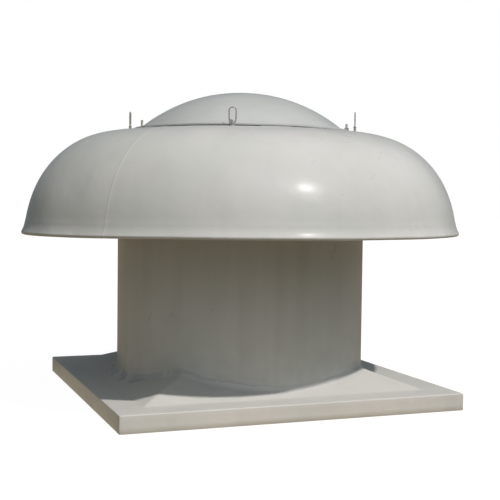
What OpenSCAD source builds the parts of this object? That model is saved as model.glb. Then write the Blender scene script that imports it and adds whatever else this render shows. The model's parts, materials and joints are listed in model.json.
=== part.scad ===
// Hooded axial roof exhaust fan: a mushroom hood over a direct-drive fan in a round throat,
// on a square base that caps a roof curb. Millimetres, +Z up, origin at the centre of the base's foot.

/* [Base] */
// Side of the square base
base_w = 830; // [760:10:900]
// Height of the turned-down rim
rim_h = 40; // [30:1:60]
// Side of the raised hip at its foot
hip_w = 696; // [670:2:720]
// Rise of the hip for each millimetre of run
hip_rise = 0.37; // [0.3:0.01:0.5]
// Wall of the moulded shells
shell_t = 5; // [4:0.5:6]

/* [Throat] */
// Outside diameter of the throat cylinder
throat_d = 630; // [620:1:640]
// Wall of the throat cylinder
throat_t = 7; // [5:0.5:8]
// Height of the cylinder's top edge
throat_top = 510; // [490:1:530]

/* [Hood] */
// Diameter over the hood's lip
hood_d = 1107; // [1080:1:1200]
// Height of the lip's lower edge
hood_lip_z = 408; // [390:1:430]
// Height of the flat land round the opening
hood_top = 658.5; // [655:0.5:662]
// Inward lean of the hood's wall for each millimetre of height
hood_lean = 0.18; // [0:0.01:0.2]
// Diameter of the opening under the dome
hood_hole_d = 520; // [500:2:520]
// Angle of the first lifting eye from the X axis
hood_turn = -24.3; // [-45:0.1:45]

/* [Dome] */
// Outside radius of the dome's sphere
dome_r = 409; // [400:0.5:415]
// Diameter of the dome's brim
dome_brim_d = 558; // [550:1:562]

/* [Lifting eyes] */
// Radius of the circle of eyes
eye_circle_r = 290; // [288:1:292]
// Height of an eye's top over the land
eye_h = 46; // [40:1:60]
// Wire diameter of an eye
eye_wire = 3; // [3:0.5:5]
// Outside width of an eye
eye_w = 19; // [14:1:20]

/* [Impeller] */
// Number of blades
blade_n = 6; // [4:1:7]
// Radius at the blade tips
tip_r = 300; // [290:1:303]
// Pitch at the root, from the plane of rotation
root_pitch = 38; // [30:1:42]
// Pitch at the tip, from the plane of rotation
tip_pitch = 22; // [16:1:26]

/* [Hidden] */
$fn = 96;

gap = 0.1;       // space left between round faces that are bonded or pressed together
over = 1;         // how far a cutting shape runs past the face that it cuts
n_sides = 4;     // eyes, posts and arms round the fan

// Throat
throat_r = throat_d / 2;
bore_r = throat_r - throat_t;
bell_r = 22;                 // radius of the flared inlet
bell_z = 12;                 // height of the inlet's lower edge
bead_w = 6;                  // rolled bead on the top edge
bead_h = 8;

// Hood
land_r = 302;                // where the flat land meets the shoulder
wall_z = 430;                // where the shoulder meets the flared lip
shoulder_out = 0.92;         // powers of cosine and sine that square up the shoulder's curve
shoulder_up = 0.75;
lean_angle = atan(hood_lean);
flare_turn = 29;             // slope of the lip from the vertical
flare_r = (wall_z - hood_lip_z) / (sin(flare_turn) - sin(lean_angle));
wall_r = hood_d / 2 - flare_r * (cos(lean_angle) - cos(flare_turn));
hole_r = hood_hole_d / 2;
hole_turn_h = 17;            // depth of the opening's turned-down edge

// Dome
gasket_t = 5;
brim_z = hood_top + gasket_t;
dome_top = 764;
dome_c = dome_top - dome_r;  // height of the sphere's centre
dome_bolt_r = 271.5;         // circle of the dome's studs
// Each stud's angle from the eye beside it, and its height above the brim
dome_studs = [[-10, 16], [0, 20], [-10, 30], [-1, 8]];

eye_rise = [14, 3, 12, -0.7];  // how far each eye is screwed out from its usual height
eye_tail = 32;               // length of its shank below the hood's top

// Fasteners: [shank radius, width across flats, head height, washer radius, washer thickness]
m6 = [3, 10, 4.5, 6, 1.2];
m8 = [4, 13, 5.5, 8, 1.6];
m10 = [5, 16, 6.5, 10, 2];
m4_hole = 2.1;               // radius of the holes for the small screws
hole_play = 0.5;             // extra radius of a clearance hole

// Support posts and the motor's arms
post_x = 301;                // inner face of a post
post_t = 6;
post_w = 40;
post_drop = 0.3;             // room for the hood's curve over a post's outer corner
post_z = 462;
tab_x = 279;                 // inner end of the post's top tab
pair_y = 12;                 // half the spacing of each pair of wall bolts
pair_z = 486;
plate_z = 460;
plate_w = 230;
plate_t = 6;
arm_t = 6;
arm_top = 500;

// Bird guard
guard_r = 308.5;
guard_screw_y = 5;           // sets each guard screw beside its bar
guard_t = 3;
guard_n = 48;
guard_band = 10;
guard_top = 650;
guard_screw_z = [545, 629];

// Motor, by the flange and shaft sizes of IEC frame 90
flange_z = plate_z + plate_t;
flange_r = 100;
flange_t = 12;
flange_pcd = 165;
spigot_r = 65;
spigot_h = 3.5;
frame_r = 84;
frame_bore = 76;
frame_z = flange_z + flange_t;
frame_top = 632;
fin_n = 32;
fin_h = 8;
shield_t = 8;
shield_screw_r = 80;
cowl_top = 715;
cowl_r = 86;
cowl_screw_z = frame_top + shield_t / 2;
core_z = 505;
core_top = 600;
airgap_r = 45.8;
motor_turn = hood_turn + 45;  // the motor's bolts and box stand between the arms

// Bearings, size 6205
bearing_bore = 12.5;
bearing_r = 26;
bearing_w = 15;
ball_pitch = 19.5;
ball_r = 3.97;
race_r = 4.05;
inner_land = 17.3;
outer_land = 21.7;
ball_n = 9;
lower_bearing_z = 470;
upper_bearing_z = frame_top - bearing_w;

// Shaft and hub
shaft_r = 12;
shaft_z = 416;
hub_z = 415;                  // plane of the blades
hub_r = 80;
hub_half_h = 20;
boss_r = 27;
boss_top = 458;
shank_r = 14;
collar_r = 17;
collar_x = 56;
collar_w = 6;
clamp_r = 62;                 // circle of the hub's clamp bolts
foot_x = hub_r + 0.3;
foot_r = 20;
foot_w = 6;

// Terminal box
box_x = 92;
box_d = 40;
box_w = 90;
box_h = 80;
box_z = 532;
box_wall = 3;
lid_t = 4;
gland_x = 119;
gland_bore = 5.5;
gland_z = 503;

// ---- Helpers

module around(count, turn = 0) {
    for (i = [0 : count - 1]) rotate(turn + i * 360 / count) children();
}

// One of four places round the fan
module at_side(i) {
    rotate(hood_turn + i * 360 / n_sides) children();
}

module ring(r_out, r_in, h) {
    difference() {
        cylinder(r = r_out, h = h);
        translate([0, 0, -over]) cylinder(r = r_in, h = h + 2 * over);
    }
}

module hexagon(across, h) {
    cylinder(d = across / cos(30), h = h, $fn = 6);
}

// Lays a shape that stands along +Z down so that it points along +X
module along_x() {
    rotate([0, 90, 0]) children();
}

// A bolt whose head stands on z = 0 with its washer, and whose nut closes a grip below it
module bolt_and_nut(size, grip) {
    ring(size[3], size[0] + 0.2, size[4]);
    translate([0, 0, size[4]]) hexagon(size[1], size[2]);
    translate([0, 0, -grip - size[4] - size[2] - 3]) cylinder(r = size[0], h = grip + 2 * size[4] + size[2] + 3);
    translate([0, 0, -grip - size[4]]) ring(size[3], size[0] + 0.2, size[4]);
    translate([0, 0, -grip - size[4] - size[2]]) difference() {
        hexagon(size[1], size[2]);
        translate([0, 0, -over]) cylinder(r = size[0] + 0.05, h = size[2] + 2 * over);
    }
}

// An M4 pan-head screw, whose head stands on z = 0
module pan_screw(head_h, depth) {
    cylinder(r = 3.6, h = head_h);
    translate([0, 0, -depth]) cylinder(r = 2, h = depth + over);
}

function arc(cx, cy, r, from, to, steps) =
    [for (i = [0 : steps]) let (a = from + (to - from) * i / steps) [cx + r * cos(a), cy + r * sin(a)]];

// ---- Base

// Four sloping planes over the base, raised by lift
module hip(lift = 0) {
    low = rim_h - 10;
    high = rim_h + 75;
    half_low = hip_w / 2 - (low - rim_h - lift) / hip_rise;
    half_high = hip_w / 2 - (high - rim_h - lift) / hip_rise;
    intersection_for (turn = [0, 90])
        rotate([90, 0, turn]) linear_extrude(base_w, center = true)
            polygon([[-half_low, low], [half_low, low], [half_high, high], [-half_high, high]]);
}

module base_plate() {
    drop = shell_t * sqrt(1 + hip_rise * hip_rise);
    inside_w = base_w - 2 * shell_t;
    color("gainsboro") difference() {
        union() {
            translate([-base_w / 2, -base_w / 2, 0]) cube([base_w, base_w, rim_h]);
            hip();
        }
        translate([-inside_w / 2, -inside_w / 2, -over]) cube([inside_w, inside_w, rim_h - shell_t + over]);
        hip(-drop);
        translate([0, 0, -over]) cylinder(r = throat_r + gap, h = rim_h + 100);
    }
}

// The bead of resin that bonds the base to the cylinder
module bond_fillet() {
    bead = 12;
    color("gainsboro") difference() {
        intersection() {
            translate([0, 0, rim_h]) cylinder(r = throat_r + bead, h = 100);
            hip(bead);
        }
        hip();
        translate([0, 0, rim_h - over]) cylinder(r = throat_r + gap, h = 120);
    }
}

module curb_gasket() {
    outer = base_w - 2 * shell_t - 4;
    inner = hip_w + 8;
    strip_t = 6;
    color("dimgray") translate([0, 0, rim_h - shell_t - strip_t]) difference() {
        translate([-outer / 2, -outer / 2, 0]) cube([outer, outer, strip_t]);
        translate([-inner / 2, -inner / 2, -over]) cube([inner, inner, strip_t + 2 * over]);
    }
}

// ---- Throat

module fan_cylinder() {
    bell_c = [bore_r + bell_r, bell_z + bell_r];
    color("gainsboro") difference() {
        rotate_extrude() polygon(concat(
            arc(bell_c[0], bell_c[1], bell_r, 180, 270, 8),
            arc(bell_c[0], bell_c[1], bell_r - throat_t, 270, 180, 8),
            [[throat_r, throat_top - bead_h], [throat_r + bead_w, throat_top - bead_h]],
            [[throat_r + bead_w, throat_top], [bore_r, throat_top]]));
        for (i = [0 : n_sides - 1]) at_side(i)
            for (y = [-pair_y, pair_y])
                translate([bore_r - 20, y, pair_z]) along_x() cylinder(r = m8[0] + hole_play, h = 40);
    }
}

// ---- Hood and dome

// The curve of the wall and shoulder, moved in by inset from the outside
function shoulder(inset, from, to, steps) = [for (i = [0 : steps])
    let (a = from + (to - from) * i / steps,
         z = wall_z + (hood_top - inset - wall_z) * pow(sin(a), shoulder_up))
    [land_r + (wall_r - inset - land_r) * pow(cos(a), shoulder_out) - hood_lean * (z - wall_z) * cos(a), z]];

module hood() {
    flare_c = [wall_r + flare_r * cos(lean_angle), wall_z + flare_r * sin(lean_angle)];
    under = hood_top - shell_t;
    lip_t = shell_t + 2;
    color("gainsboro") difference() {
        rotate_extrude() polygon(concat(
            arc(flare_c[0], flare_c[1], flare_r, 180 + flare_turn, 182 + lean_angle, 5),
            shoulder(0, 0, 90, 30),
            [[hole_r, hood_top], [hole_r, hood_top - hole_turn_h]],
            [[hole_r + shell_t, hood_top - hole_turn_h], [hole_r + shell_t, under]],
            shoulder(shell_t, 90, 0, 30),
            [[hood_d / 2 - lip_t - 1, hood_lip_z + 6], [hood_d / 2 - lip_t, hood_lip_z]]));
        for (i = [0 : n_sides - 1]) at_side(i) {
            translate([eye_circle_r, 0, under - over]) cylinder(r = m6[0] + hole_play, h = shell_t + 2 * over);
            rotate(dome_studs[i][0]) translate([dome_bolt_r, 0, under - over])
                cylinder(r = m6[0] + hole_play, h = shell_t + 2 * over);
        }
    }
}

module dome_cap() {
    brim_top = brim_z + shell_t;
    r_in = dome_r - shell_t;
    a_out = asin((brim_top - dome_c) / dome_r);
    a_in = asin((brim_z - dome_c) / r_in);
    color("gainsboro") difference() {
        rotate_extrude() polygon(concat(
            arc(0, dome_c, dome_r, 90, a_out, 20),
            [[dome_brim_d / 2, brim_top], [dome_brim_d / 2, brim_z]],
            arc(0, dome_c, r_in, a_in, 90, 20)));
        for (i = [0 : n_sides - 1]) at_side(i) rotate(dome_studs[i][0])
            translate([dome_bolt_r, 0, brim_z - over]) cylinder(r = m6[0] + hole_play, h = 3 * shell_t);
    }
}

module dome_gasket() {
    color("dimgray") difference() {
        translate([0, 0, hood_top]) ring(dome_brim_d / 2 - 1, hole_r + 2, gasket_t);
        for (i = [0 : n_sides - 1]) at_side(i) rotate(dome_studs[i][0])
            translate([dome_bolt_r, 0, hood_top - over]) cylinder(r = m6[0] + hole_play, h = 2 * shell_t);
    }
}

// Long set screws from below, whose nuts on the brim leave threaded ends standing
module dome_bolts() {
    grip = 2 * shell_t + gasket_t;
    nut_h = 5;
    color("silver") for (i = [0 : n_sides - 1]) at_side(i) rotate(dome_studs[i][0])
        translate([dome_bolt_r, 0, brim_z + shell_t]) {
            ring(m6[3], m6[0] + 0.2, m6[4]);
            translate([0, 0, m6[4]]) difference() {
                hexagon(m6[1], nut_h);
                translate([0, 0, -over]) cylinder(r = m6[0] + 0.05, h = nut_h + 2 * over);
            }
            translate([0, 0, -grip - m6[4]]) {
                cylinder(r = m6[0], h = grip + m6[4] + dome_studs[i][1]);
                ring(m6[3], m6[0] + 0.2, m6[4]);
                translate([0, 0, -m6[2]]) hexagon(m6[1], m6[2]);
            }
        }
}

// ---- Lifting eyes and the posts that they hang from

// An oval eye that stands across the radius, on a threaded shank, screwed in to its own height
module lifting_eye(i) {
    bend_r = (eye_w - eye_wire) / 2;
    top_z = hood_top + eye_h + eye_rise[i] - eye_wire / 2 - bend_r;
    straight = 20;
    color("silver") at_side(i) translate([eye_circle_r, 0, 0]) {
        translate([0, 0, top_z]) rotate([90, 0, 90]) rotate_extrude(angle = 180)
            translate([bend_r, 0]) circle(d = eye_wire, $fn = 32);
        translate([0, 0, top_z - straight]) rotate([90, 180, 90]) rotate_extrude(angle = 180)
            translate([bend_r, 0]) circle(d = eye_wire, $fn = 32);
        for (y = [-bend_r, bend_r])
            translate([0, y, top_z - straight]) cylinder(d = eye_wire, h = straight, $fn = 32);
        translate([0, 0, hood_top - eye_tail])
            cylinder(r = m6[0], h = top_z - straight - bend_r - hood_top + eye_tail);
    }
}

module eye_nuts() {
    nut_h = 5;
    grip = shell_t + post_t;
    color("silver") for (i = [0 : n_sides - 1]) at_side(i) translate([eye_circle_r, 0, 0]) {
        translate([0, 0, hood_top]) ring(m8[3], m6[0] + gap, m6[4]);
        for (z = [hood_top + m6[4], hood_top - grip - nut_h])
            translate([0, 0, z]) difference() {
                hexagon(m6[1], nut_h);
                translate([0, 0, -over]) cylinder(r = m6[0] + gap, h = nut_h + 2 * over);
            }
    }
}

module support_post(i) {
    top = hood_top - shell_t;
    color("lightgray") at_side(i) difference() {
        union() {
            translate([post_x, -post_w / 2, post_z]) cube([post_t, post_w, top - post_drop - post_z]);
            translate([tab_x, -post_w / 2, top - post_t]) cube([land_r + 1 - tab_x, post_w, post_t]);
        }
        translate([eye_circle_r, 0, top - post_t - over]) cylinder(r = m6[0] + hole_play, h = post_t + 2 * over);
        for (y = [-pair_y, pair_y])
            translate([post_x - over, y, pair_z]) along_x() cylinder(r = m8[0] + hole_play, h = post_t + 2 * over);
        for (z = guard_screw_z)
            translate([post_x - over, guard_screw_y, z]) along_x()
                cylinder(r = m4_hole, h = post_t + 2 * over);
    }
}

module post_bolts() {
    grip = throat_r + gap - post_x + post_t;
    color("silver") for (i = [0 : n_sides - 1]) at_side(i)
        for (y = [-pair_y, pair_y])
            translate([throat_r + gap, y, pair_z]) along_x() bolt_and_nut(m8, grip);
}

// ---- Bird guard on the cylinder's top edge

module bird_guard() {
    height = guard_top - throat_top;
    window = 2 * PI * guard_r / guard_n - guard_t;
    color("silver") translate([0, 0, throat_top]) difference() {
        ring(guard_r + guard_t, guard_r, height);
        around(guard_n, hood_turn + 180 / guard_n)
            translate([guard_r - 5, -window / 2, guard_band]) cube([15, window, height - 2 * guard_band]);
    }
}

// Screws with broad washers that hold the guard's bars to the posts
module guard_screws() {
    washer_r = 13;
    washer_t = 1.5;
    color("silver") for (i = [0 : n_sides - 1]) at_side(i) for (z = guard_screw_z)
        translate([guard_r + guard_t + gap, guard_screw_y, z]) along_x() {
            ring(washer_r, m4_hole, washer_t);
            translate([0, 0, washer_t]) pan_screw(2.5, guard_r + guard_t + washer_t - post_x);
        }
}

// ---- Motor mount

module motor_plate() {
    color("lightgray") rotate(hood_turn) difference() {
        translate([-plate_w / 2, -plate_w / 2, plate_z]) cube([plate_w, plate_w, plate_t]);
        translate([0, 0, plate_z - over]) cylinder(r = spigot_r + gap, h = plate_t + 2 * over);
        around(n_sides, 45) translate([flange_pcd / 2, 0, plate_z - over])
            cylinder(r = m10[0] + hole_play, h = plate_t + 2 * over);
    }
}

// A flat bar on edge, welded to the plate, with a tab at its outer end
module mount_arm(i) {
    side = [
        [plate_w / 2, plate_z], [post_x - post_t, plate_z], [post_x - post_t, arm_top],
        [145, arm_top], [106, plate_z + 28], [106, flange_z], [plate_w / 2, flange_z],
    ];
    color("lightgray") at_side(i) difference() {
        union() {
            rotate([90, 0, 0]) linear_extrude(arm_t, center = true) polygon(side);
            translate([post_x - post_t, -post_w / 2, post_z]) cube([post_t, post_w, 46]);
        }
        for (y = [-pair_y, pair_y])
            translate([post_x - 2 * post_t, y, pair_z]) along_x() cylinder(r = m8[0] + hole_play, h = 3 * post_t);
    }
}

// Set screws from under the plate into the flange's blind tapped holes
module motor_bolts() {
    color("silver") rotate(hood_turn) around(n_sides, 45) translate([flange_pcd / 2, 0, plate_z]) {
        translate([0, 0, -m10[4]]) {
            ring(m10[3], m10[0] + 0.2, m10[4]);
            cylinder(r = m10[0], h = m10[4] + plate_t + flange_t - 3);
            translate([0, 0, -m10[2]]) hexagon(m10[1], m10[2]);
        }
    }
}

// ---- Motor, stationary parts

module motor_housing() {
    pad_w = 74;
    color("steelblue") rotate(motor_turn) difference() {
        union() {
            translate([0, 0, frame_z]) ring(frame_r, frame_bore + gap, frame_top - frame_z);
            for (i = [0 : fin_n - 1]) let (a = i * 360 / fin_n) if (abs((a + 180) % 360 - 180) > 30)
                rotate(a) translate([frame_r - 2, -1.5, frame_z + 6]) cube([fin_h + 2, 3, frame_top - frame_z - 12]);
            translate([frame_r - 10, -pad_w / 2, box_z + 4]) cube([box_x - frame_r + 10, pad_w, box_h - 8]);
        }
        translate([0, 0, frame_z - over]) cylinder(r = frame_bore + gap, h = frame_top);
        around(n_sides, 45) translate([shield_screw_r, 0, frame_top - 16]) cylinder(r = m4_hole, h = 20);
    }
}

module stator_core() {
    color("dimgray") translate([0, 0, core_z]) ring(frame_bore, airgap_r, core_top - core_z);
}

module stator_winding() {
    color("chocolate") for (z = [[core_z - 17, core_z], [core_top, core_top + 16]])
        translate([0, 0, z[0]]) ring(68, 50, z[1] - z[0]);
}

module drive_end_shield() {
    seat = bearing_r + gap / 2;
    low = flange_z - spigot_h;
    color("steelblue") rotate(motor_turn) difference() {
        rotate_extrude() polygon([
            [13.5, low], [spigot_r, low], [spigot_r, flange_z], [flange_r, flange_z], [flange_r, frame_z],
            [frame_bore, frame_z], [frame_bore, frame_z + 8], [70, frame_z + 8], [70, frame_z - 2],
            [34, frame_z - 2], [34, lower_bearing_z + bearing_w + 2], [seat, lower_bearing_z + bearing_w + 2],
            [seat, lower_bearing_z], [13.5, lower_bearing_z],
        ]);
        around(n_sides) translate([flange_pcd / 2, 0, flange_z - over])
            cylinder(r = m10[0] + gap, h = flange_t - 2 + over);
    }
}

module rear_end_shield() {
    seat = bearing_r + gap / 2;
    top = frame_top + shield_t;
    color("steelblue") rotate(motor_turn) difference() {
        rotate_extrude() polygon([
            [seat, upper_bearing_z], [34, upper_bearing_z], [34, frame_top - 2], [70, frame_top - 2],
            [70, frame_top - 8], [frame_bore, frame_top - 8], [frame_bore, frame_top], [frame_r, frame_top],
            [frame_r, top], [11, top], [11, frame_top], [seat, frame_top],
        ]);
        around(n_sides, 45) translate([shield_screw_r, 0, frame_top - over])
            cylinder(r = m4_hole, h = shield_t + 2 * over);
        around(n_sides) translate([frame_r - 6, 0, cowl_screw_z]) along_x() cylinder(r = m4_hole, h = 10);
    }
}

// Screws that draw the rear shield onto the housing's wall
module shield_screws() {
    color("silver") rotate(motor_turn) around(n_sides, 45)
        translate([shield_screw_r, 0, frame_top + shield_t]) pan_screw(2.5, shield_t + 14);
}

module fan_cowl() {
    slots = 20;
    color("steelblue") rotate(motor_turn) difference() {
        rotate_extrude() polygon(concat(
            [[frame_r + gap, frame_top], [cowl_r, frame_top]],
            arc(cowl_r - 10, cowl_top - 10, 10, 0, 90, 6),
            [[0, cowl_top], [0, cowl_top - 2]],
            arc(cowl_r - 10, cowl_top - 10, 8, 90, 0, 6)));
        around(slots) translate([26, -2, cowl_top - 5]) cube([44, 4, 10]);
        around(n_sides) translate([frame_r - 6, 0, cowl_screw_z]) along_x() cylinder(r = m4_hole, h = 20);
    }
}

module cowl_screws() {
    color("silver") rotate(motor_turn) around(n_sides)
        translate([cowl_r, 0, cowl_screw_z]) along_x() pan_screw(2, 7);
}

// Places a shape at each of the lid's four corners, pointing out of the box
module at_lid_corners(x) {
    inset = 6;
    for (y = [inset - box_w / 2, box_w / 2 - inset], z = [box_z + inset, box_z + box_h - inset])
        translate([x, y, z]) along_x() children();
}

module terminal_box() {
    color("steelblue") rotate(motor_turn) difference() {
        translate([box_x, -box_w / 2, box_z]) cube([box_d, box_w, box_h]);
        difference() {
            translate([box_x + box_wall, -box_w / 2 + box_wall, box_z + box_wall])
                cube([box_d, box_w - 2 * box_wall, box_h - 2 * box_wall]);
            at_lid_corners(box_x) cylinder(r = 5, h = box_d);
        }
        at_lid_corners(box_x + box_d - 15) cylinder(r = m4_hole, h = 20);
        translate([gland_x, 0, box_z - over]) cylinder(r = 8, h = box_wall + 2 * over);
    }
}

module terminal_lid() {
    color("steelblue") rotate(motor_turn) difference() {
        translate([box_x + box_d, -box_w / 2, box_z]) cube([lid_t, box_w, box_h]);
        at_lid_corners(box_x + box_d - over) cylinder(r = m4_hole, h = lid_t + 2 * over);
    }
}

module lid_screws() {
    color("silver") rotate(motor_turn) at_lid_corners(box_x + box_d + lid_t) pan_screw(2.5, 14);
}

module terminal_block() {
    posts = 3;
    pitch = 20;
    color("saddlebrown") rotate(motor_turn) {
        translate([box_x + box_wall, -32, box_z + 40]) cube([9, 64, 24]);
        for (k = [0 : posts - 1]) translate([box_x + box_wall + 9, (k - 1) * pitch, box_z + 52])
            along_x() cylinder(r = 2.5, h = 7);
    }
}

// The gland's nut, body and thread, with the cable's way through them
module cable_gland() {
    color("dimgray") rotate(motor_turn) translate([gland_x, 0, gland_z]) difference() {
        union() {
            hexagon(22, 10);
            translate([0, 0, 10]) cylinder(r = 9, h = 7);
            translate([0, 0, 17]) hexagon(22, box_z - gland_z - 17);
            translate([0, 0, 20]) cylinder(r = 7.9, h = box_z - gland_z - 12);
            translate([0, 0, box_z - gland_z + box_wall]) hexagon(22, 4);
        }
        translate([0, 0, -over]) cylinder(r = gland_bore, h = 50);
    }
}

// ---- Bearings

module bearing_outer(z) {
    color("silver") translate([0, 0, z]) rotate_extrude() difference() {
        translate([outer_land, 0]) square([bearing_r - outer_land, bearing_w]);
        translate([ball_pitch, bearing_w / 2]) circle(r = race_r, $fn = 48);
    }
}

module bearing_inner(z) {
    color("silver") translate([0, 0, z]) rotate_extrude() difference() {
        translate([bearing_bore + gap / 5, 0]) square([inner_land - bearing_bore - gap / 5, bearing_w]);
        translate([ball_pitch, bearing_w / 2]) circle(r = race_r, $fn = 48);
    }
}

// The balls, in the cage that keeps them apart
module bearing_balls(z) {
    color("silver") translate([0, 0, z + bearing_w / 2]) {
        around(ball_n) translate([ball_pitch, 0, 0]) sphere(r = ball_r, $fn = 32);
        translate([0, 0, -2.5]) ring(ball_pitch + 0.8, ball_pitch - 0.8, 5);
    }
}

// ---- Motor, turning parts

module motor_shaft() {
    seat_r = bearing_bore;
    color("silver") difference() {
        union() {
            translate([0, 0, shaft_z]) cylinder(r = shaft_r, h = lower_bearing_z - shaft_z);
            translate([0, 0, lower_bearing_z]) cylinder(r = seat_r, h = bearing_w);
            translate([0, 0, lower_bearing_z + bearing_w])
                cylinder(r = 15, h = upper_bearing_z - lower_bearing_z - bearing_w);
            translate([0, 0, upper_bearing_z]) cylinder(r = seat_r, h = bearing_w);
            translate([0, 0, frame_top]) cylinder(r = 9, h = 54);
        }
        translate([0, 0, shaft_z - over]) cylinder(r = m8[0] + gap, h = 25);
        translate([shaft_r - 4, -4, shaft_z - over]) cube([8, 8, 40 + over]);
    }
}

module rotor_core() {
    color("gray") translate([0, 0, core_z]) ring(airgap_r - 0.6, 15 + gap / 2, core_top - core_z);
}

module shaft_key() {
    color("silver") translate([shaft_r - 4 + gap, -4 + gap / 2, shaft_z]) cube([7 - gap, 8 - gap, 38]);
}

module cooling_fan() {
    fan_z = frame_top + 18;
    vanes = 7;
    color("dimgray") translate([0, 0, fan_z]) {
        ring(18, 9 + gap / 5, 24);
        ring(70, 17, 2.5);
        around(vanes) translate([17, -1.2, 0]) cube([51, 2.4, 28]);
    }
}

// ---- Impeller

// Seats for the blades' shanks, bolt holes and the shaft, cut from either half of the hub
module hub_cuts() {
    around(blade_n) translate([0, 0, hub_z]) along_x() {
        translate([0, 0, collar_x - 6]) cylinder(r = shank_r + gap / 2, h = 50);
        translate([0, 0, collar_x - gap]) cylinder(r = collar_r + gap / 2, h = collar_w + 2 * gap);
    }
    around(blade_n, 180 / blade_n) translate([clamp_r, 0, hub_z - 30]) cylinder(r = m8[0] + hole_play, h = 60);
}

module hub_upper() {
    color("lightgray") difference() {
        union() {
            translate([0, 0, hub_z]) cylinder(r = hub_r, h = hub_half_h);
            translate([0, 0, hub_z]) cylinder(r = boss_r, h = boss_top - hub_z);
        }
        hub_cuts();
        translate([0, 0, hub_z - over]) cylinder(r = shaft_r + gap / 5, h = 60);
        translate([shaft_r - 4, -4, hub_z - over]) cube([7.4, 8, 60]);
    }
}

module hub_lower() {
    color("lightgray") difference() {
        translate([0, 0, hub_z - hub_half_h]) cylinder(r = hub_r, h = hub_half_h);
        hub_cuts();
        translate([0, 0, hub_z - hub_half_h - over]) cylinder(r = 20, h = 60);
    }
}

module hub_bolts() {
    color("silver") around(blade_n, 180 / blade_n)
        translate([clamp_r, 0, hub_z + hub_half_h]) bolt_and_nut(m8, 2 * hub_half_h);
}

// The screw and plate that hold the hub on the shaft's end
module shaft_end_bolt() {
    plate_h = 4;
    color("silver") translate([0, 0, hub_z]) {
        translate([0, 0, -plate_h]) cylinder(r = 18, h = plate_h);
        translate([0, 0, -plate_h - m8[2]]) hexagon(m8[1], m8[2]);
        translate([0, 0, -plate_h]) cylinder(r = m8[0], h = 24);
    }
}

// One cross-section of a blade at radius x: a thin cambered aerofoil, set at its pitch, which
// widens from a narrow root to its full chord
section_n = 10;
root_chord = 34;
full_chord = 118;
flare_t = 0.32;
function blade_section(x) =
    let (t = max(0, (x - foot_x - foot_w) / (tip_r - foot_x - foot_w)),
         flare = pow(max(0, 1 - t / flare_t), 2),
         chord = full_chord - (full_chord - root_chord) * flare,
         pitch = root_pitch + (tip_pitch - root_pitch) * sqrt(t),
         thick = 4 + 5 * (1 - t) + 4 * flare,
         u_of = function (i) i <= section_n ? i / section_n : 2 - i / section_n,
         side = function (i) i <= section_n ? 1 : -1)
    [for (i = [0 : 2 * section_n - 1])
        let (u = u_of(i),
             half = thick / 2 * (2.6 * sqrt(u) * (1 - u) + 0.25 * (1 - pow(2 * u - 1, 2)) + 0.08),
             camber = -0.28 * chord * u * (1 - u),
             v = chord * (0.5 - u),
             w = camber + side(i) * half)
        [x, v * cos(pitch) + w * sin(pitch), hub_z - v * sin(pitch) + w * cos(pitch)]];

module blade(i) {
    steps = 12;
    ring_n = 2 * section_n;
    first = foot_x + foot_w - over;
    sections = [for (s = [0 : steps]) blade_section(first + (tip_r - first) * s / steps)];
    tip = steps * ring_n;
    color("lightgray") rotate(i * 360 / blade_n) {
        translate([0, 0, hub_z]) along_x() {
            translate([0, 0, collar_x]) cylinder(r = shank_r, h = foot_x + foot_w - collar_x);
            translate([0, 0, collar_x]) cylinder(r = collar_r, h = collar_w);
            translate([0, 0, foot_x]) cylinder(r = foot_r, h = foot_w);
        }
        polyhedron(
            points = [for (s = sections, p = s) p],
            faces = concat(
                [for (s = [0 : steps - 1], k = [0 : ring_n - 1]) let (a = s * ring_n + k)
                    [a, a + ring_n, s * ring_n + (k + 1) % ring_n]],
                [for (s = [0 : steps - 1], k = [0 : ring_n - 1]) let (b = s * ring_n + (k + 1) % ring_n)
                    [(s + 1) * ring_n + k, b + ring_n, b]],
                [[for (k = [0 : ring_n - 1]) k]],
                [[for (k = [ring_n - 1 : -1 : 0]) tip + k]]));
    }
}

// ---- Nodes

base_plate();
bond_fillet();
fan_cylinder();
curb_gasket();
hood();
dome_cap();
dome_gasket();
dome_bolts();
eye_nuts();
post_bolts();
for (i = [0 : n_sides - 1]) {
    lifting_eye(i);
    support_post(i);
    mount_arm(i);
}
bird_guard();
guard_screws();
motor_plate();
motor_bolts();
motor_housing();
stator_core();
stator_winding();
drive_end_shield();
rear_end_shield();
shield_screws();
fan_cowl();
cowl_screws();
terminal_box();
terminal_lid();
terminal_block();
lid_screws();
cable_gland();
bearing_outer(lower_bearing_z);  // lower_bearing_outer
bearing_outer(upper_bearing_z);  // upper_bearing_outer
bearing_inner(lower_bearing_z);  // lower_bearing_inner
bearing_inner(upper_bearing_z);  // upper_bearing_inner
bearing_balls(lower_bearing_z);  // lower_bearing_balls
bearing_balls(upper_bearing_z);  // upper_bearing_balls
motor_shaft();
rotor_core();
shaft_key();
cooling_fan();
hub_upper();
hub_lower();
hub_bolts();
shaft_end_bolt();
for (i = [0 : blade_n - 1])
    blade(i);
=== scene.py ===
"""Looks for the hooded roof exhaust fan: mouldings, materials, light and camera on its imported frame."""

import json
import math

import bpy
from mathutils import Matrix, Vector, noise


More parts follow.
